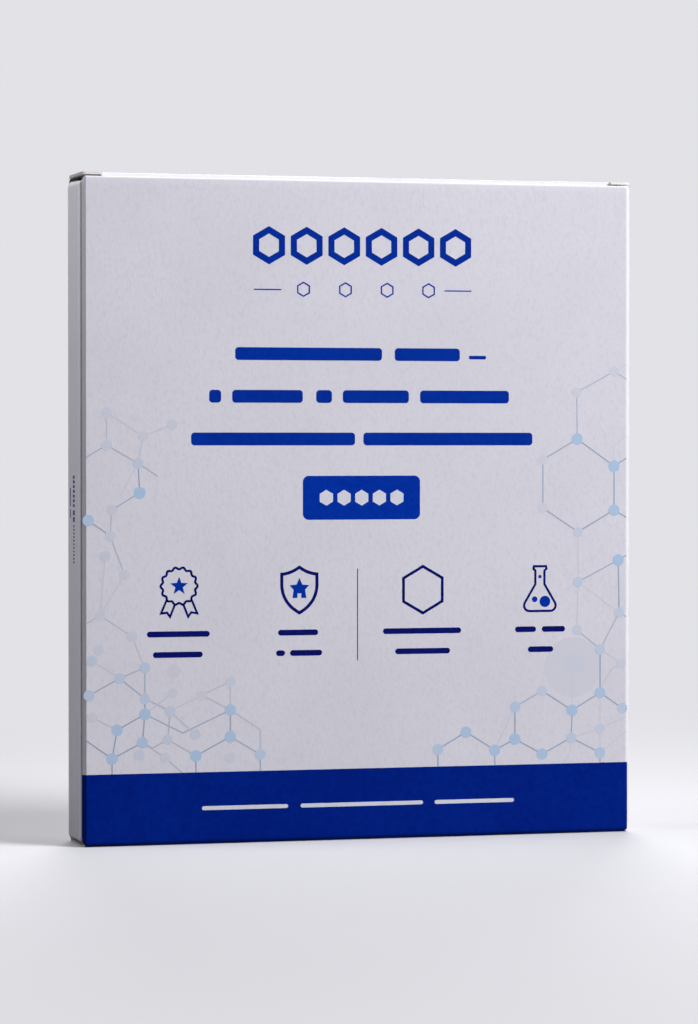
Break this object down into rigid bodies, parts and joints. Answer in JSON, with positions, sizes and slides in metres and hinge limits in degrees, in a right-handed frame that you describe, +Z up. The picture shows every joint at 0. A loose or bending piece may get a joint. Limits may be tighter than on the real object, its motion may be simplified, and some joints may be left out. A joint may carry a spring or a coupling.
{
  "type": "folding carton of weighing dishes",
  "caption": "Tall slim folding carton with a tuck-in lid hinged at the back, holding a nested stack of hexagonal weighing dishes.",
  "frame": {"origin": "middle of the underside of the closed carton", "axes": "+Z up along the carton's height, -Y out of the printed front panel, +X across the width to the right as the front is seen"},
  "size_m": [0.112, 0.014, 0.13],
  "materials": {
    "carton_board": "0.5 mm folding boxboard, white, satin coated outside and uncoated inside",
    "print_dark": "dark blue offset ink under a satin coat",
    "print_pale": "pale blue tint, satin",
    "print_white": "bare board left white in the printed blue",
    "dish_plastic": "white polystyrene, lightly glossy"
  },
  "bodies": {
    "carton": {"carton_body": "carton_board", "dish_1": "dish_plastic", "dish_2": "dish_plastic", "dish_3": "dish_plastic", "dish_4": "dish_plastic", "dish_5": "dish_plastic"},
    "lid": {"lid": "carton_board", "tuck_flap": "carton_board"}
  },
  "joints": [
    {"name": "lid_hinge", "type": "hinge", "parent": "carton", "child": "lid", "pos_m": [0, 0.00675, 0.12975], "axis": [-1, 0, 0], "range_deg": [0, 170], "deforming": ["tuck_flap"]}
  ]
}
